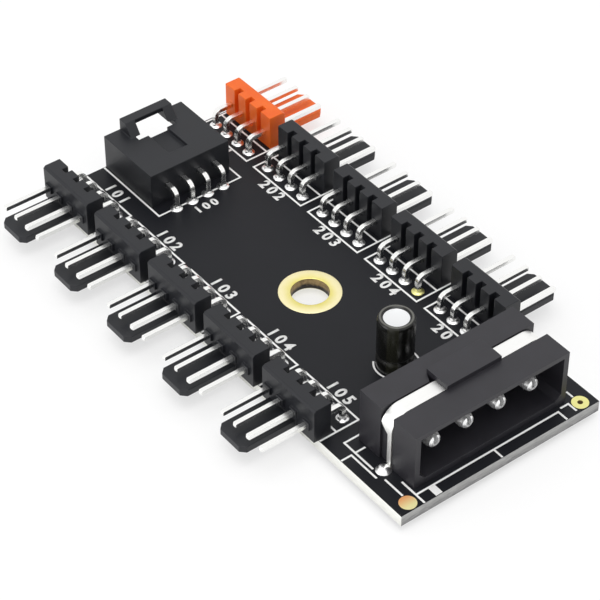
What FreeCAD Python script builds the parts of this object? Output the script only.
import FreeCAD, Part
import os
import Sketcher

# A fan hub board: ten fan headers, a keyed input socket, a power socket held by a tin
# strap, and a capacitor, all on one circuit board. The board lies level with its top
# face at height zero. The origin is on the axis of the mounting hole, in the middle of
# the board. +Y points at the far end, with the input socket, and -Y at the power socket.

# Driving sizes, in millimetres
SIZES = {
    # Circuit board and its mounting hole
    "board_length": 74.0,
    "board_width": 31.0,
    "board_thickness": 1.6,
    "mounting_hole_radius": 2.5,
    "plating_thickness": 0.05,
    "plated_ring_radius": 4.3,
    "corner_pad_radius": 1.1,
    "corner_pad_edge_x": 2.0,
    "corner_pad_edge_y": 1.25,
    "corner_hole_radius": 0.35,
    # Leads, their drilled holes and their solder
    "drill_clearance": 0.05,
    "tail_length": 1.0,
    "solder_pad_radius": 0.85,
    "solder_top_height": 0.3,
    "solder_tail_height": 0.7,
    "mould_fit": 0.01,
    # Square pins
    "pin_width": 0.64,
    "pin_bend_radius": 0.5,
    "pin_tip_chamfer": 0.2,
    # Fan headers
    "header_end_margin": 5.5,
    "header_near_margin": 20.5,
    "header_gap": 1.84,
    "header_overhang": 0.7,
    "header_wall_thickness": 2.6,
    "header_wall_height": 5.2,
    "header_edge_chamfer": 0.3,
    "header_pin_height": 2.3,
    "header_pin_reach": 7.1,
    "header_lead_setback": 2.7,
    "header_slot_width": 0.9,
    "header_slot_depth": 1.0,
    "header_slot_floor": 1.2,
    "collar_width": 1.3,
    "collar_height": 1.2,
    "collar_depth": 0.35,
    "tongue_length": 7.9,
    "tongue_width": 5.1,
    "tongue_shift": 1.05,
    "tongue_thickness": 1.0,
    "tongue_corner": 0.7,
    # Input socket
    "input_end_margin": 0.1,
    "input_width": 12.7,
    "input_length": 11.0,
    "input_height": 5.3,
    "input_side_wall": 0.9,
    "input_floor": 0.6,
    "input_roof": 0.9,
    "input_rear_wall": 2.5,
    "input_pin_height": 2.8,
    "input_pin_setback": 3.0,
    "input_lead_gap": 1.95,
    "arch_width": 7.5,
    "arch_leg": 1.5,
    "arch_height": 1.75,
    "arch_bar": 0.7,
    "arch_length": 1.5,
    "arch_gusset": 1.3,
    "window_length": 3.5,
    "window_width": 6.0,
    "keyway_width": 3.0,
    "keyway_length": 4.8,
    "keyway_depth": 0.55,
    # Power socket
    "power_end_margin": 2.5,
    "power_shift": 0.3,
    "power_width": 23.7,
    "power_height": 8.2,
    "shroud_length": 4.05,
    "groove_length": 2.3,
    "rear_block_length": 3.85,
    "shroud_wall": 0.8,
    "shroud_roof": 0.7,
    "shroud_floor": 0.85,
    "cavity_depth": 8.0,
    "cavity_chamfer": 0.9,
    "bridge_width": 8.4,
    "bridge_shift": 0.3,
    "bridge_front_lap": 0.15,
    "bridge_rear_lap": 1.35,
    "bridge_height": 0.7,
    "relief_width": 0.65,
    "relief_length": 1.25,
    "relief_depth": 1.0,
    "power_pin_radius": 1.05,
    "power_pin_bore": 0.3,
    "power_pin_spacing": 5.08,
    "power_pin_height": 4.1,
    "power_pin_setback": 1.3,
    "power_pin_taper": 0.75,
    "power_pin_nose": 0.2,
    "power_pin_nose_radius": 0.85,
    "power_pin_tip_radius": 0.55,
    "power_pin_split": 2.3,
    "power_pin_split_width": 0.6,
    "power_pin_bore_depth": 5.0,
    "power_lead_width": 1.1,
    "power_lead_gap": 1.4,
    "power_bend_radius": 0.4,
    "power_solder_radius": 1.3,
    # Strap
    "strap_thickness": 0.5,
    "strap_width": 2.0,
    "strap_clearance": 0.1,
    "strap_proud": 0.15,
    "strap_bend_radius": 2.5,
    "strap_leg_width": 0.7,
    "strap_shoulder_height": 5.2,
    "strap_shoulder_slope": 1.1,
    "strap_foot_shift": 0.95,
    "strap_foot_radius": 1.0,
    "strap_foot_height": 0.7,
    # Capacitor
    "capacitor_from_near_edge": 20.05,
    "can_radius": 2.4,
    "can_top": 8.0,
    "can_bottom": 0.3,
    "can_edge_radius": 0.4,
    "can_wall": 0.3,
    "bead_height": 2.1,
    "bead_length": 0.7,
    "bead_depth": 0.3,
    "sleeve_thickness": 0.1,
    "sleeve_lap": 0.5,
    "bung_length": 1.3,
    "bung_rise": 0.15,
    "capacitor_lead_radius": 0.25,
    "capacitor_lead_spacing": 2.0,
}
HEADERS_PER_SIDE = 5
PINS_PER_ROW = 4

# Places worked out from the driving sizes
HALF_LENGTH = "Sizes.board_length / 2"
HALF_WIDTH = "Sizes.board_width / 2"
BARREL_RADIUS = "(Sizes.mounting_hole_radius + Sizes.plating_thickness)"
HALF_PIN = "Sizes.pin_width / 2"
PIN_DRILL = "(Sizes.pin_width / 2 * sqrt(2) + Sizes.drill_clearance)"
TAIL_Z = "-(Sizes.board_thickness + Sizes.tail_length)"
HEADER_ROW_LENGTH = "(Sizes.board_length - Sizes.header_end_margin - Sizes.header_near_margin)"
HEADER_SPACING = "(%s / %d)" % (HEADER_ROW_LENGTH, HEADERS_PER_SIDE - 1)
HEADER_LENGTH = "(%s - Sizes.header_gap)" % HEADER_SPACING
PIN_SPACING = "(%s / %d)" % (HEADER_LENGTH, PINS_PER_ROW)
FIRST_PIN_Y = "(%s * %s)" % (PIN_SPACING, (PINS_PER_ROW - 1) / 2)
FIRST_HEADER_Y = "(Sizes.board_length / 2 - Sizes.header_end_margin)"
HEADER_OUTER_X = "(Sizes.board_width / 2 + Sizes.header_overhang)"
HEADER_INNER_X = "(Sizes.board_width / 2 + Sizes.header_overhang - Sizes.header_wall_thickness)"
HEADER_LEAD_X = "(%s - Sizes.header_lead_setback)" % HEADER_INNER_X
INPUT_MOUTH_Y = "(Sizes.board_length / 2 - Sizes.input_end_margin)"
INPUT_LEAD_Y = "(-Sizes.input_length - Sizes.input_lead_gap)"
POWER_FRONT_Y = "(-Sizes.board_length / 2 + Sizes.power_end_margin)"
GROOVE_Y = "Sizes.shroud_length"
REAR_BLOCK_Y = "(Sizes.shroud_length + Sizes.groove_length)"
POWER_REAR_Y = "(Sizes.shroud_length + Sizes.groove_length + Sizes.rear_block_length)"
POWER_LEAD_Y = "(%s + Sizes.power_lead_gap)" % POWER_REAR_Y
FIRST_POWER_PIN_X = "Sizes.power_pin_spacing * %s" % ((PINS_PER_ROW - 1) / 2)
POWER_DRILL = "(Sizes.power_lead_width / 2 * sqrt(2) + Sizes.drill_clearance)"
STRAP_TOP = "(Sizes.power_height - Sizes.strap_clearance)"
STRAP_OUTER_X = "(Sizes.power_width / 2 + Sizes.strap_proud)"
STRAP_INNER_X = "(%s - Sizes.strap_thickness)" % STRAP_OUTER_X
STRAP_FRONT_Y = "(Sizes.shroud_length + (Sizes.groove_length - Sizes.strap_width) / 2)"
STRAP_LEG_X = "(%s - Sizes.strap_thickness / 2)" % STRAP_OUTER_X
STRAP_LEG_Y = "(%s + Sizes.strap_leg_width / 2)" % STRAP_FRONT_Y
STRAP_DRILL = "(sqrt(Sizes.strap_thickness ^ 2 + Sizes.strap_leg_width ^ 2) / 2 + Sizes.drill_clearance)"
CAPACITOR_Y = "(-Sizes.board_length / 2 + Sizes.capacitor_from_near_edge)"
CAPACITOR_DRILL = "(Sizes.capacitor_lead_radius + 2 * Sizes.drill_clearance)"
PAD_X = "(Sizes.board_width / 2 - Sizes.corner_pad_edge_x)"
PAD_Y = "(-Sizes.board_length / 2 + Sizes.corner_pad_edge_y)"

doc = FreeCAD.newDocument("fan_hub_board")
sheet = doc.addObject("Spreadsheet::Sheet", "Sizes")
for row, (alias, size) in enumerate(SIZES.items(), start=1):
    sheet.set("A%d" % row, str(size))
    sheet.setAlias("A%d" % row, alias)
doc.recompute()

pieces = []


# Helpers for bodies, sketches and features
def value(expression):
    return float(sheet.evalExpression(expression))


def new_body(name, along_x="0", along_y="0", turned=False, several=False):
    body = doc.addObject("PartDesign::Body", name)
    body.Label = name
    body.AllowCompound = several
    if turned:
        half_turn = FreeCAD.Rotation(FreeCAD.Vector(0, 0, 1), 180)
        body.Placement = FreeCAD.Placement(FreeCAD.Vector(0, 0, 0), half_turn)
    body.setExpression("Placement.Base.x", along_x)
    body.setExpression("Placement.Base.y", along_y)
    pieces.append(body)
    return body


def origin_item(body, role):
    return [item for item in body.Origin.OriginFeatures if item.Role == role][0]


def new_sketch(body, name, role, right="0", up="0", out="0"):
    sketch = body.newObject("Sketcher::SketchObject", name)
    sketch.AttachmentSupport = [(origin_item(body, role), "")]
    sketch.MapMode = "FlatFace"
    sketch.setExpression("AttachmentOffset.Base.x", right)
    sketch.setExpression("AttachmentOffset.Base.y", up)
    sketch.setExpression("AttachmentOffset.Base.z", out)
    return sketch


def bind(sketch, kind, geometry, point, expression):
    constraint = Sketcher.Constraint(kind, -1, 1, geometry, point, value(expression))
    number = sketch.addConstraint(constraint)
    sketch.setExpression("Constraints[%d]" % number, expression)


def add_loop(sketch, corners):
    first = sketch.GeometryCount
    count = len(corners)
    spots = [FreeCAD.Vector(value(right), value(up), 0) for right, up in corners]
    for index in range(count):
        edge = Part.LineSegment(spots[index], spots[(index + 1) % count])
        sketch.addGeometry(edge, False)
    for index, (right, up) in enumerate(corners):
        before = first + (index - 1) % count
        sketch.addConstraint(Sketcher.Constraint("Coincident", before, 2, first + index, 1))
        bind(sketch, "DistanceX", first + index, 1, right)
        bind(sketch, "DistanceY", first + index, 1, up)


def add_box(sketch, left, right, bottom, top):
    add_loop(sketch, [(left, bottom), (right, bottom), (right, top), (left, top)])


def add_circle(sketch, right, up, radius):
    number = sketch.GeometryCount
    centre = FreeCAD.Vector(value(right), value(up), 0)
    circle = Part.Circle(centre, FreeCAD.Vector(0, 0, 1), value(radius))
    sketch.addGeometry(circle, False)
    bind(sketch, "DistanceX", number, 3, right)
    bind(sketch, "DistanceY", number, 3, up)
    constraint = Sketcher.Constraint("Radius", number, value(radius))
    sketch.setExpression("Constraints[%d]" % sketch.addConstraint(constraint), radius)


def extrude(body, kind, name, sketch, length, way="One side", backwards=False):
    feature = body.newObject("PartDesign::" + kind, name)
    feature.Profile = sketch
    feature.SideType = way
    feature.Reversed = backwards
    feature.setExpression("Length", length)
    return feature


def revolve(body, name, sketch, axis):
    feature = body.newObject("PartDesign::Revolution", name)
    feature.Profile = sketch
    feature.ReferenceAxis = (sketch, [axis])
    feature.Angle = 360
    return feature


def repeat(body, name, feature, role, spacing, count, backwards=False, whole=False):
    pattern = body.newObject("PartDesign::LinearPattern", name)
    if whole:
        pattern.TransformMode = "Whole shape"
    else:
        pattern.Originals = [feature]
    pattern.Direction = (origin_item(body, role), [""])
    pattern.Reversed = backwards
    pattern.Mode = "Spacing"
    pattern.setExpression("Offset", spacing)
    pattern.Occurrences = count
    body.Tip = pattern
    return pattern


def near(first, second):
    return abs(first - second) < 1e-4


def dress(body, kind, name, size, chosen):
    doc.recompute()
    base = body.Tip
    numbered = enumerate(base.Shape.Edges, start=1)
    edges = ["Edge%d" % number for number, edge in numbered if chosen(edge.BoundBox)]
    feature = body.newObject("PartDesign::" + kind, name)
    feature.Base = (base, edges)
    feature.setExpression("Radius" if kind == "Fillet" else "Size", size)
    return feature


def along_y_at(right, up):
    across = value(right)
    height = value(up)

    def chosen(box):
        level = near(box.XLength, 0) and near(box.ZLength, 0)
        return level and near(abs(box.XMin), abs(across)) and near(box.ZMin, height)

    return chosen


# The black glass-fibre board, drilled for the mounting screw and for every lead
def circuit_board():
    body = new_body("circuit_board")
    face = new_sketch(body, "board_face", "XY_Plane")
    add_box(face, "-" + HALF_WIDTH, HALF_WIDTH, "-" + HALF_LENGTH, HALF_LENGTH)
    add_circle(face, "0", "0", BARREL_RADIUS)
    extrude(body, "Pad", "board_slab", face, "Sizes.board_thickness", backwards=True)

    header_holes = new_sketch(body, "header_lead_holes", "XY_Plane")
    for side in ("", "-"):
        for place in range(PINS_PER_ROW):
            step = place - (PINS_PER_ROW - 1) / 2
            along = "%s + %s * %s" % (FIRST_HEADER_Y, PIN_SPACING, step)
            add_circle(header_holes, side + HEADER_LEAD_X, along, PIN_DRILL)
    drilled = extrude(body, "Pocket", "header_drilling", header_holes, "Sizes.board_thickness")
    repeat(body, "header_drilling_row", drilled, "Y_Axis", HEADER_SPACING, HEADERS_PER_SIDE,
           backwards=True)

    socket_holes = new_sketch(body, "socket_lead_holes", "XY_Plane")
    input_y = "%s + %s" % (INPUT_MOUTH_Y, INPUT_LEAD_Y)
    power_y = "%s + %s" % (POWER_FRONT_Y, POWER_LEAD_Y)
    strap_y = "%s + %s" % (POWER_FRONT_Y, STRAP_LEG_Y)
    for place in range(PINS_PER_ROW):
        step = place - (PINS_PER_ROW - 1) / 2
        add_circle(socket_holes, "%s * %s" % (PIN_SPACING, step), input_y, PIN_DRILL)
        power_x = "Sizes.power_shift + Sizes.power_pin_spacing * %s" % step
        add_circle(socket_holes, power_x, power_y, POWER_DRILL)
    for side in ("+", "-"):
        add_circle(socket_holes, "Sizes.power_shift %s %s" % (side, STRAP_LEG_X), strap_y, STRAP_DRILL)
        lead_x = "%sSizes.capacitor_lead_spacing / 2" % side.strip("+")
        add_circle(socket_holes, lead_x, CAPACITOR_Y, CAPACITOR_DRILL)
    add_circle(socket_holes, PAD_X, PAD_Y, "Sizes.corner_hole_radius")
    extrude(body, "Pocket", "socket_drilling", socket_holes, "Sizes.board_thickness")


# The mounting hole's copper: a ring on each face of the board, joined by a plated barrel
def mounting_hole_ring():
    body = new_body("mounting_hole_ring")
    section = new_sketch(body, "ring_section", "XZ_Plane")
    bore = "Sizes.mounting_hole_radius"
    rim = "Sizes.plated_ring_radius"
    top = "Sizes.plating_thickness"
    under = "-Sizes.board_thickness"
    bottom = "-(Sizes.board_thickness + Sizes.plating_thickness)"
    add_loop(section, [(bore, top), (rim, top), (rim, "0"), (BARREL_RADIUS, "0"),
                       (BARREL_RADIUS, under), (rim, under), (rim, bottom), (bore, bottom)])
    revolve(body, "plated_ring", section, "V_Axis")


# Bare plated pads near the two near corners, the right one with a small hole
def corner_pad(name, side, hole):
    body = new_body(name)
    face = new_sketch(body, name + "_face", "XY_Plane")
    add_circle(face, side + PAD_X, PAD_Y, "Sizes.corner_pad_radius")
    if hole:
        add_circle(face, side + PAD_X, PAD_Y, "Sizes.corner_hole_radius")
    extrude(body, "Pad", name + "_copper", face, "Sizes.plating_thickness")


# A moulded fan header: a wall that holds four pins, with a flat locking tongue under them
def header_housing(name, along_y, turned):
    body = new_body(name, along_y=along_y, turned=turned)
    outer = HEADER_OUTER_X
    inner = HEADER_INNER_X
    top = "Sizes.header_wall_height"
    wall = new_sketch(body, name + "_section", "XZ_Plane")
    add_loop(wall, [(inner, "0"), (outer, "0"), (outer, top + " - Sizes.header_edge_chamfer"),
                    (outer + " - Sizes.header_edge_chamfer", top), (inner, top)])
    extrude(body, "Pad", name + "_wall", wall, HEADER_LENGTH, way="Symmetric")

    tongue = new_sketch(body, name + "_tongue_face", "XY_Plane")
    tip = outer + " + Sizes.tongue_length"
    low = "-Sizes.tongue_shift - Sizes.tongue_width / 2"
    high = "-Sizes.tongue_shift + Sizes.tongue_width / 2"
    corner = " - Sizes.tongue_corner"
    add_loop(tongue, [(inner, low), (tip + corner, low), (tip, low + " + Sizes.tongue_corner"),
                      (tip, high + corner), (tip + corner, high), (inner, high)])
    extrude(body, "Pad", name + "_tongue", tongue, "Sizes.tongue_thickness")

    collar = new_sketch(body, name + "_collar_side", "XZ_Plane", out=FIRST_PIN_Y)
    collar_low = "Sizes.header_pin_height - Sizes.collar_height / 2"
    collar_high = "Sizes.header_pin_height + Sizes.collar_height / 2"
    add_box(collar, inner, outer + " + Sizes.collar_depth", collar_low, collar_high)
    first_collar = extrude(body, "Pad", name + "_collar", collar, "Sizes.collar_width", way="Symmetric")
    repeat(body, name + "_collars", first_collar, "Y_Axis", PIN_SPACING, PINS_PER_ROW)

    slot = new_sketch(body, name + "_slot_side", "XZ_Plane", out=PIN_SPACING)
    add_box(slot, inner + " - Sizes.header_slot_depth", inner + " + Sizes.header_slot_depth",
            "Sizes.header_slot_floor", top + " + Sizes.header_slot_depth")
    first_slot = extrude(body, "Pocket", name + "_slot", slot, "Sizes.header_slot_width", way="Symmetric")
    repeat(body, name + "_slots", first_slot, "Y_Axis", PIN_SPACING, PINS_PER_ROW - 1)

    passage = new_sketch(body, name + "_passage_side", "XZ_Plane", out=FIRST_PIN_Y)
    half_hole = "(Sizes.pin_width / 2 + Sizes.mould_fit)"
    add_box(passage, inner + " - Sizes.pin_width", outer + " + Sizes.collar_depth + Sizes.pin_width",
            "Sizes.header_pin_height - " + half_hole, "Sizes.header_pin_height + " + half_hole)
    first_passage = extrude(body, "Pocket", name + "_passage", passage,
                            "Sizes.pin_width + 2 * Sizes.mould_fit", way="Symmetric")
    repeat(body, name + "_passages", first_passage, "Y_Axis", PIN_SPACING, PINS_PER_ROW)


# Square wire pins, each bent down once, with its tail through the board
def bent_pins(body, name, role, out, tip, lead, height, spacing_role):
    side = new_sketch(body, name + "_side", role, out=out)
    toward = "-" if value(tip) > value(lead) else "+"
    away = "+" if toward == "-" else "-"
    over = "%s + %s" % (height, HALF_PIN)
    under = "%s - %s" % (height, HALF_PIN)
    front = "%s %s %s" % (lead, away, HALF_PIN)
    back = "%s %s %s" % (lead, toward, HALF_PIN)
    add_loop(side, [(tip, over), (tip, under), (front, under), (front, TAIL_Z), (back, TAIL_Z), (back, over)])
    extrude(body, "Pad", name + "_wire", side, "Sizes.pin_width", way="Symmetric")
    runs_along_x = role == "XZ_Plane"

    def at_bend(place, level):
        def chosen(box):
            low = box.XMin if runs_along_x else box.YMin
            high = box.XMax if runs_along_x else box.YMax
            flat = near(low, high) and near(box.ZLength, 0)
            return flat and near(low, value(place)) and near(box.ZMin, value(level))
        return chosen

    def at_tip(box):
        low = box.XMin if runs_along_x else box.YMin
        high = box.XMax if runs_along_x else box.YMax
        return near(low, value(tip)) and near(high, value(tip))

    dress(body, "Fillet", name + "_inner_bend", "Sizes.pin_bend_radius", at_bend(front, under))
    dress(body, "Fillet", name + "_outer_bend", "Sizes.pin_bend_radius + Sizes.pin_width",
          at_bend(back, over))
    dress(body, "Chamfer", name + "_tip", "Sizes.pin_tip_chamfer", at_tip)
    repeat(body, name + "_row", None, spacing_role, PIN_SPACING, PINS_PER_ROW, whole=True)


def header_pins(name, along_y, turned):
    body = new_body(name, along_y=along_y, turned=turned, several=True)
    tip = HEADER_OUTER_X + " + Sizes.header_pin_reach"
    bent_pins(body, name, "XZ_Plane", FIRST_PIN_Y, tip, HEADER_LEAD_X, "Sizes.header_pin_height", "Y_Axis")


# The input socket: a keyed shroud open to the far end, with an arch over its window
def input_socket_housing():
    body = new_body("input_socket_housing", along_y=INPUT_MOUTH_Y)
    half = "Sizes.input_width / 2"
    block = new_sketch(body, "input_face", "XZ_Plane")
    add_box(block, "-" + half, half, "0", "Sizes.input_height")
    extrude(body, "Pad", "input_block", block, "Sizes.input_length")

    arch = new_sketch(body, "arch_face", "XZ_Plane")
    add_box(arch, "-Sizes.arch_width / 2", "Sizes.arch_width / 2", "Sizes.input_floor",
            "Sizes.input_height + Sizes.arch_height")
    extrude(body, "Pad", "arch", arch, "Sizes.arch_length")

    cavity = new_sketch(body, "input_cavity_face", "XZ_Plane")
    add_box(cavity, "-(%s - Sizes.input_side_wall)" % half, "%s - Sizes.input_side_wall" % half,
            "Sizes.input_floor", "Sizes.input_height - Sizes.input_roof")
    extrude(body, "Pocket", "input_cavity", cavity, "Sizes.input_length - Sizes.input_rear_wall",
            backwards=True)

    half_opening = "(Sizes.arch_width / 2 - Sizes.arch_leg)"
    arch_top = "Sizes.input_height + Sizes.arch_height"
    for name, start in (("left_gusset", "-Sizes.arch_width / 2"), ("right_gusset", half_opening)):
        gusset = new_sketch(body, name + "_side", "YZ_Plane", out=start)
        add_loop(gusset, [("-Sizes.arch_length", arch_top), ("-Sizes.arch_length", "Sizes.input_height"),
                          ("-(Sizes.arch_length + Sizes.arch_gusset)", "Sizes.input_height")])
        extrude(body, "Pad", name, gusset, "Sizes.arch_leg")

    opening = new_sketch(body, "arch_opening_face", "XY_Plane", out=arch_top + " - Sizes.arch_bar")
    add_box(opening, "-" + half_opening, half_opening, "-Sizes.window_length", "Sizes.arch_length")
    extrude(body, "Pocket", "arch_opening", opening, "Sizes.arch_height - Sizes.arch_bar + Sizes.input_roof / 2")

    window = new_sketch(body, "window_face", "XY_Plane", out="Sizes.input_height")
    add_box(window, "-Sizes.window_width / 2", "Sizes.window_width / 2", "-Sizes.window_length",
            "Sizes.arch_length")
    extrude(body, "Pocket", "window", window, "Sizes.input_roof + Sizes.input_floor")
    keyway = new_sketch(body, "keyway_face", "XY_Plane", out="Sizes.input_height")
    add_box(keyway, "-Sizes.keyway_width / 2", "Sizes.keyway_width / 2",
            "-(Sizes.window_length + Sizes.keyway_length)", "-Sizes.window_length + Sizes.arch_length")
    extrude(body, "Pocket", "keyway", keyway, "Sizes.keyway_depth")

    passage = new_sketch(body, "input_passages", "XZ_Plane")
    half_hole = "(Sizes.pin_width / 2 + Sizes.mould_fit)"
    for place in range(PINS_PER_ROW):
        across = "%s * %s" % (PIN_SPACING, place - (PINS_PER_ROW - 1) / 2)
        add_box(passage, "%s - %s" % (across, half_hole), "%s + %s" % (across, half_hole),
                "Sizes.input_pin_height - " + half_hole, "Sizes.input_pin_height + " + half_hole)
    extrude(body, "Pocket", "input_pin_passages", passage, "Sizes.input_length + Sizes.pin_width",
            backwards=True)


def input_socket_pins():
    body = new_body("input_socket_pins", along_y=INPUT_MOUTH_Y, several=True)
    bent_pins(body, "input_pin", "YZ_Plane", "-" + FIRST_PIN_Y, "-Sizes.input_pin_setback", INPUT_LEAD_Y,
              "Sizes.input_pin_height", "X_Axis")


# The power socket: front shroud, narrower neck under the strap, rear block, and a bridge
# that reaches from the rear block over the strap to the shroud
def power_socket_housing():
    body = new_body("power_socket_housing", "Sizes.power_shift", POWER_FRONT_Y)
    half = "Sizes.power_width / 2"
    neck_top = "(%s - Sizes.strap_thickness)" % STRAP_TOP
    neck = new_sketch(body, "neck_face", "XZ_Plane")
    add_box(neck, "-" + STRAP_INNER_X, STRAP_INNER_X, "0", neck_top)
    extrude(body, "Pad", "neck", neck, POWER_REAR_Y, backwards=True)
    dress(body, "Fillet", "neck_shoulders", "Sizes.strap_bend_radius - Sizes.strap_thickness",
          along_y_at(STRAP_INNER_X, neck_top))

    shroud = new_sketch(body, "shroud_face", "XZ_Plane")
    add_box(shroud, "-" + half, half, "0", "Sizes.power_height")
    extrude(body, "Pad", "shroud", shroud, "Sizes.shroud_length", backwards=True)
    block = new_sketch(body, "rear_block_face", "XZ_Plane", out="-" + REAR_BLOCK_Y)
    add_box(block, "-" + half, half, "0", "Sizes.power_height")
    extrude(body, "Pad", "rear_block", block, "Sizes.rear_block_length", backwards=True)

    bridge = new_sketch(body, "bridge_face", "XY_Plane", out="Sizes.power_height")
    bridge_left = "(Sizes.bridge_shift - Sizes.bridge_width / 2)"
    add_box(bridge, bridge_left, "Sizes.bridge_shift + Sizes.bridge_width / 2",
            GROOVE_Y + " - Sizes.bridge_front_lap", REAR_BLOCK_Y + " + Sizes.bridge_rear_lap")
    extrude(body, "Pad", "bridge", bridge, "Sizes.bridge_height")
    relief = new_sketch(body, "relief_face", "XY_Plane", out="Sizes.power_height")
    add_loop(relief, [(bridge_left, REAR_BLOCK_Y + " + Sizes.relief_length"),
                      (bridge_left + " - Sizes.relief_width", REAR_BLOCK_Y),
                      (bridge_left, REAR_BLOCK_Y)])
    extrude(body, "Pocket", "bridge_relief", relief, "Sizes.relief_depth")

    cavity = new_sketch(body, "power_cavity_face", "XZ_Plane")
    side = "(%s - Sizes.shroud_wall)" % half
    low = "Sizes.shroud_floor"
    high = "Sizes.power_height - Sizes.shroud_roof"
    bevel = "Sizes.cavity_chamfer"
    add_loop(cavity, [("-%s + %s" % (side, bevel), low), ("%s - %s" % (side, bevel), low),
                      (side, "%s + %s" % (low, bevel)), (side, high), ("-" + side, high),
                      ("-" + side, "%s + %s" % (low, bevel))])
    extrude(body, "Pocket", "power_cavity", cavity, "Sizes.shroud_length")
    inner_side = "(%s - Sizes.shroud_wall)" % STRAP_INNER_X
    inner_high = "%s - Sizes.shroud_roof" % neck_top
    deep = new_sketch(body, "deep_cavity_face", "XZ_Plane")
    add_loop(deep, [("-%s + %s" % (inner_side, bevel), low), ("%s - %s" % (inner_side, bevel), low),
                    (inner_side, "%s + %s" % (low, bevel)),
                    (inner_side, "%s - Sizes.strap_bend_radius / 2" % inner_high),
                    ("%s - Sizes.strap_bend_radius / 2" % inner_side, inner_high),
                    ("-%s + Sizes.strap_bend_radius / 2" % inner_side, inner_high),
                    ("-" + inner_side, "%s - Sizes.strap_bend_radius / 2" % inner_high),
                    ("-" + inner_side, "%s + %s" % (low, bevel))])
    extrude(body, "Pocket", "deep_cavity", deep, "Sizes.cavity_depth")

    passage = new_sketch(body, "power_passages", "XZ_Plane")
    for place in range(PINS_PER_ROW):
        across = "Sizes.power_pin_spacing * %s" % (place - (PINS_PER_ROW - 1) / 2)
        add_circle(passage, across, "Sizes.power_pin_height", "Sizes.power_pin_radius + Sizes.mould_fit")
    extrude(body, "Pocket", "power_pin_passages", passage, POWER_REAR_Y + " + Sizes.power_pin_radius")


# Rolled power pins: a tube with a rounded nose, split at its tip, on a square lead bent down
def power_socket_pins():
    body = new_body("power_socket_pins", "Sizes.power_shift", POWER_FRONT_Y, several=True)
    tip = "Sizes.power_pin_setback"
    height = "Sizes.power_pin_height"
    radius = "Sizes.power_pin_radius"
    shank_end = POWER_REAR_Y + " + Sizes.mould_fit"
    section = new_sketch(body, "power_pin_section", "YZ_Plane", up=height, out="-" + FIRST_POWER_PIN_X)
    bore_end = "%s + Sizes.power_pin_bore_depth" % tip
    add_loop(section, [(tip, "Sizes.power_pin_bore"), (tip, "Sizes.power_pin_tip_radius"),
                       (tip + " + Sizes.power_pin_nose", "Sizes.power_pin_nose_radius"),
                       (tip + " + Sizes.power_pin_taper", radius), (shank_end, radius), (shank_end, "0"),
                       (bore_end, "0"), (bore_end, "Sizes.power_pin_bore")])
    revolve(body, "power_pin_tube", section, "H_Axis")

    lead = new_sketch(body, "power_lead_side", "YZ_Plane", out="-" + FIRST_POWER_PIN_X)
    half = "Sizes.power_lead_width / 2"
    over = "%s + %s" % (height, half)
    under = "%s - %s" % (height, half)
    front = "%s - %s" % (POWER_LEAD_Y, half)
    back = "%s + %s" % (POWER_LEAD_Y, half)
    root = POWER_REAR_Y + " - " + half
    add_loop(lead, [(root, over), (root, under), (front, under), (front, TAIL_Z), (back, TAIL_Z), (back, over)])
    extrude(body, "Pad", "power_lead", lead, "Sizes.power_lead_width", way="Symmetric")

    def corner(place, level):
        def chosen(box):
            flat = near(box.YLength, 0) and near(box.ZLength, 0)
            return flat and near(box.YMin, value(place)) and near(box.ZMin, value(level))
        return chosen

    dress(body, "Fillet", "power_inner_bend", "Sizes.power_bend_radius", corner(front, under))
    dress(body, "Fillet", "power_outer_bend", "Sizes.power_bend_radius + Sizes.power_lead_width",
          corner(back, over))

    split = new_sketch(body, "power_pin_split", "XY_Plane", right="-" + FIRST_POWER_PIN_X, up=tip, out=height)
    half_split = "Sizes.power_pin_split_width / 2"
    add_loop(split, [("-" + half_split, "-Sizes.power_pin_split"), (half_split, "-Sizes.power_pin_split"),
                     (half_split, "0"), ("0", "Sizes.power_pin_split"), ("-" + half_split, "0")])
    extrude(body, "Pocket", "power_pin_mouth", split, "2 * Sizes.power_pin_radius", backwards=True)
    repeat(body, "power_pin_row", None, "X_Axis", "Sizes.power_pin_spacing", PINS_PER_ROW, whole=True)


# The tin-plated strap: bent round the neck, with its sides cut down to two soldered legs
def power_socket_strap():
    body = new_body("power_socket_strap", "Sizes.power_shift", POWER_FRONT_Y)
    under = "(%s - Sizes.strap_thickness)" % STRAP_TOP
    band = new_sketch(body, "strap_face", "XZ_Plane", out="-" + STRAP_FRONT_Y)
    add_loop(band, [("-" + STRAP_OUTER_X, TAIL_Z), ("-" + STRAP_INNER_X, TAIL_Z), ("-" + STRAP_INNER_X, under),
                    (STRAP_INNER_X, under), (STRAP_INNER_X, TAIL_Z), (STRAP_OUTER_X, TAIL_Z),
                    (STRAP_OUTER_X, STRAP_TOP), ("-" + STRAP_OUTER_X, STRAP_TOP)])
    extrude(body, "Pad", "strap_band", band, "Sizes.strap_width", backwards=True)
    dress(body, "Fillet", "strap_inner_bends", "Sizes.strap_bend_radius - Sizes.strap_thickness",
          along_y_at(STRAP_INNER_X, under))
    dress(body, "Fillet", "strap_outer_bends", "Sizes.strap_bend_radius",
          along_y_at(STRAP_OUTER_X, STRAP_TOP))

    waist = new_sketch(body, "strap_waist_side", "YZ_Plane")
    leg_back = STRAP_FRONT_Y + " + Sizes.strap_leg_width"
    beyond = STRAP_FRONT_Y + " + 2 * Sizes.strap_width"
    shoulder = "Sizes.strap_shoulder_height"
    add_loop(waist, [(leg_back, TAIL_Z + " - Sizes.strap_width"), (beyond, TAIL_Z + " - Sizes.strap_width"),
                     (beyond, shoulder + " + Sizes.strap_shoulder_slope"),
                     (STRAP_FRONT_Y + " + Sizes.strap_width", shoulder + " + Sizes.strap_shoulder_slope"),
                     (leg_back, shoulder)])
    extrude(body, "Pocket", "strap_waist", waist, "2 * Sizes.power_width", way="Symmetric")


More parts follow.
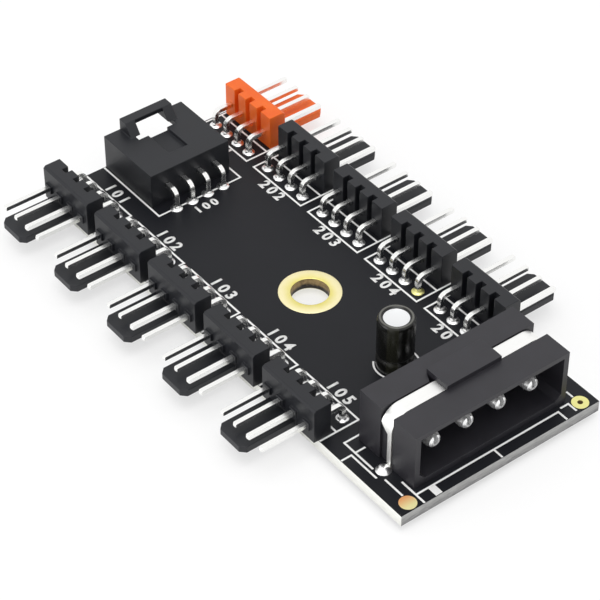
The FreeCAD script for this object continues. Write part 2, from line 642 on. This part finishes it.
# The capacitor: a drawn can with a rolled bead, closed by a rubber bung with two leads,
# in a shrunk sleeve that laps over the edge of the can's top
def capacitor():
    bead_low = "(Sizes.bead_height - Sizes.bead_length / 2)"
    bead_high = "(Sizes.bead_height + Sizes.bead_length / 2)"
    bead_radius = "(Sizes.can_radius - Sizes.bead_depth)"
    bung_radius = "(Sizes.can_radius - Sizes.can_wall)"
    bung_top = "(Sizes.can_bottom + Sizes.bung_length)"

    can = new_body("capacitor_can", along_y=CAPACITOR_Y)
    section = new_sketch(can, "can_section", "XZ_Plane")
    add_loop(section, [("0", bung_top), (bung_radius, bung_top), (bung_radius, "Sizes.can_bottom"),
                       ("Sizes.can_radius", "Sizes.can_bottom"), ("Sizes.can_radius", bead_low),
                       (bead_radius, "Sizes.bead_height"), ("Sizes.can_radius", bead_high),
                       ("Sizes.can_radius", "Sizes.can_top"), ("0", "Sizes.can_top")])
    revolve(can, "can_shell", section, "V_Axis")
    dress(can, "Fillet", "can_rim", "Sizes.can_edge_radius",
          lambda box: near(box.ZMin, value("Sizes.can_top")) and near(box.XMax, value("Sizes.can_radius")))

    sleeve = new_body("capacitor_sleeve", along_y=CAPACITOR_Y)
    section = new_sketch(sleeve, "sleeve_section", "XZ_Plane")
    outer = "(Sizes.can_radius + Sizes.sleeve_thickness)"
    outer_bead = "(%s + Sizes.sleeve_thickness)" % bead_radius
    top = "(Sizes.can_top + Sizes.sleeve_thickness)"
    lap = "(Sizes.can_radius - Sizes.sleeve_lap)"
    slope = "Sizes.can_edge_radius / 2"
    add_loop(section, [("Sizes.can_radius", "Sizes.can_bottom"), (outer, "Sizes.can_bottom"),
                       (outer, bead_low), (outer_bead, "Sizes.bead_height"), (outer, bead_high),
                       (outer, "%s - %s" % (top, slope)), ("%s - %s" % (outer, slope), top), (lap, top),
                       (lap, "Sizes.can_top"), ("Sizes.can_radius - " + slope, "Sizes.can_top"),
                       ("Sizes.can_radius", "Sizes.can_top - " + slope),
                       ("Sizes.can_radius", bead_high), (bead_radius, "Sizes.bead_height"),
                       ("Sizes.can_radius", bead_low)])
    revolve(sleeve, "sleeve_skin", section, "V_Axis")

    bung = new_body("capacitor_bung", along_y=CAPACITOR_Y)
    face = new_sketch(bung, "bung_face", "XY_Plane", out="Sizes.bung_rise")
    add_circle(face, "0", "0", bung_radius)
    for side in ("", "-"):
        add_circle(face, side + "Sizes.capacitor_lead_spacing / 2", "0", "Sizes.capacitor_lead_radius")
    extrude(bung, "Pad", "bung_plug", face, "Sizes.can_bottom + Sizes.bung_length - Sizes.bung_rise")

    leads = new_body("capacitor_leads", along_y=CAPACITOR_Y, several=True)
    face = new_sketch(leads, "lead_face", "XY_Plane", out=TAIL_Z)
    for side in ("", "-"):
        add_circle(face, side + "Sizes.capacitor_lead_spacing / 2", "0", "Sizes.capacitor_lead_radius")
    extrude(leads, "Pad", "lead_wires", face,
            "Sizes.board_thickness + Sizes.tail_length + Sizes.can_bottom + Sizes.bung_length")


# One solder joint: a plug in the drilled hole, with a cone down the lead, and one up it
# where the lead is bare above the board
def solder_joint(body, name, right, along, hole, pad, top_height="0", core="0"):
    section = new_sketch(body, name + "_section", "XZ_Plane", right=right, out="-(%s)" % along)
    under = "-Sizes.board_thickness"
    bottom = "-(Sizes.board_thickness + Sizes.solder_tail_height)"
    upper = [(core, "0")]
    if top_height != "0":
        upper = [(core, top_height), (hole, top_height), (pad, "0")]
    add_loop(section, upper + [(hole, "0"), (hole, under), (pad, under), (hole, bottom), (core, bottom)])
    return revolve(body, name + "_cone", section, "V_Axis")


def bore_for_lead(body, name, right, along, half_x, half_y, top_height):
    cut = new_sketch(body, name + "_lead", "XY_Plane", right=right, up=along, out=top_height)
    add_box(cut, "-(%s)" % half_x, half_x, "-(%s)" % half_y, half_y)
    extrude(body, "Pocket", name + "_bore", cut, "Sizes.board_thickness + 3 * Sizes.tail_length")


def header_solder(name, turned):
    middle_header = (HEADERS_PER_SIDE - 1) / 2
    row_middle = "%s - %s * %s" % (FIRST_HEADER_Y, HEADER_SPACING, middle_header)
    body = new_body(name, along_y=row_middle, turned=turned, several=True)
    first = "(%s * %s - %s)" % (HEADER_SPACING, middle_header, FIRST_PIN_Y)
    top = "Sizes.solder_top_height"
    solder_joint(body, name, HEADER_LEAD_X, first, PIN_DRILL, "Sizes.solder_pad_radius", top)
    bore_for_lead(body, name, HEADER_LEAD_X, first, HALF_PIN, HALF_PIN, top)
    repeat(body, name + "_row", None, "Y_Axis", PIN_SPACING, PINS_PER_ROW, whole=True)
    repeat(body, name + "_rows", None, "Y_Axis", HEADER_SPACING, HEADERS_PER_SIDE,
           backwards=True, whole=True)


def input_solder():
    body = new_body("input_solder", several=True)
    along = "(%s + %s)" % (INPUT_MOUTH_Y, INPUT_LEAD_Y)
    top = "Sizes.solder_top_height"
    solder_joint(body, "input_solder", "-" + FIRST_PIN_Y, along, PIN_DRILL, "Sizes.solder_pad_radius", top)
    bore_for_lead(body, "input_solder", "-" + FIRST_PIN_Y, along, HALF_PIN, HALF_PIN, top)
    repeat(body, "input_solder_row", None, "X_Axis", PIN_SPACING, PINS_PER_ROW, whole=True)


def power_solder():
    body = new_body("power_solder", "Sizes.power_shift", POWER_FRONT_Y, several=True)
    half = "Sizes.power_lead_width / 2"
    top = "Sizes.solder_top_height"
    solder_joint(body, "power_solder", "-" + FIRST_POWER_PIN_X, POWER_LEAD_Y, POWER_DRILL,
                 "Sizes.power_solder_radius", top)
    bore_for_lead(body, "power_solder", "-" + FIRST_POWER_PIN_X, POWER_LEAD_Y, half, half, top)
    repeat(body, "power_solder_row", None, "X_Axis", "Sizes.power_pin_spacing", PINS_PER_ROW, whole=True)


def strap_solder():
    body = new_body("strap_solder", "Sizes.power_shift", POWER_FRONT_Y, several=True)
    foot_x = "(%s + Sizes.strap_foot_shift)" % STRAP_LEG_X
    foot = new_sketch(body, "foot_section", "XZ_Plane", right=foot_x, out="-" + STRAP_LEG_Y)
    base = "Sizes.strap_foot_radius"
    peak = "Sizes.strap_foot_radius / 2"
    add_loop(foot, [("0", "0"), (base, "0"), (peak, "Sizes.strap_foot_height"), ("0", "Sizes.strap_foot_height")])
    revolve(body, "foot_mound", foot, "V_Axis")
    solder_joint(body, "foot_plug", STRAP_LEG_X, STRAP_LEG_Y, STRAP_DRILL, "Sizes.solder_pad_radius")
    bore_for_lead(body, "foot", STRAP_LEG_X, STRAP_LEG_Y, "Sizes.strap_thickness / 2",
                  "Sizes.strap_leg_width / 2", "Sizes.strap_foot_height")
    other = body.newObject("PartDesign::Mirrored", "other_foot")
    other.TransformMode = "Whole shape"
    other.MirrorPlane = (origin_item(body, "YZ_Plane"), [""])
    body.Tip = other


def capacitor_solder():
    body = new_body("capacitor_solder", along_y=CAPACITOR_Y, several=True)
    half_spacing = "Sizes.capacitor_lead_spacing / 2"
    joint = solder_joint(body, "capacitor_joint", "-" + half_spacing, "0", CAPACITOR_DRILL,
                         "Sizes.solder_pad_radius", core="Sizes.capacitor_lead_radius")
    repeat(body, "capacitor_joints", joint, "X_Axis", "Sizes.capacitor_lead_spacing", 2)


circuit_board()
mounting_hole_ring()
corner_pad("left_corner_pad", "-", hole=False)
corner_pad("right_corner_pad", "", hole=True)
for number in range(HEADERS_PER_SIDE):
    row_y = "%s - %s * %d" % (FIRST_HEADER_Y, HEADER_SPACING, number)
    for side_name, is_left in (("left", True), ("right", False)):
        header_name = "%s_header_%d" % (side_name, number + 1)
        header_housing(header_name + "_housing", row_y, is_left)
        header_pins(header_name + "_pins", row_y, is_left)
header_solder("left_header_solder", turned=True)
header_solder("right_header_solder", turned=False)
input_socket_housing()
input_socket_pins()
input_solder()
power_socket_housing()
power_socket_pins()
power_solder()
power_socket_strap()
strap_solder()
capacitor()
capacitor_solder()
doc.recompute()

# Checks on every object and every piece, and then one file for each piece
for item in doc.Objects:
    if "Invalid" in item.State or "Error" in item.State:
        raise RuntimeError("%s failed: %s" % (item.Name, item.getStatusString()))
for piece in pieces:
    if piece.Shape.isNull() or not piece.Shape.isValid() or not piece.Shape.Solids:
        raise RuntimeError("%s has no valid shape" % piece.Label)
os.makedirs("parts", exist_ok=True)
for piece in pieces:
    piece.Shape.exportStep("parts/%s.step" % piece.Label)
    print(piece.Label, len(piece.Shape.Solids), "solids", round(piece.Shape.Volume, 3), "mm3")
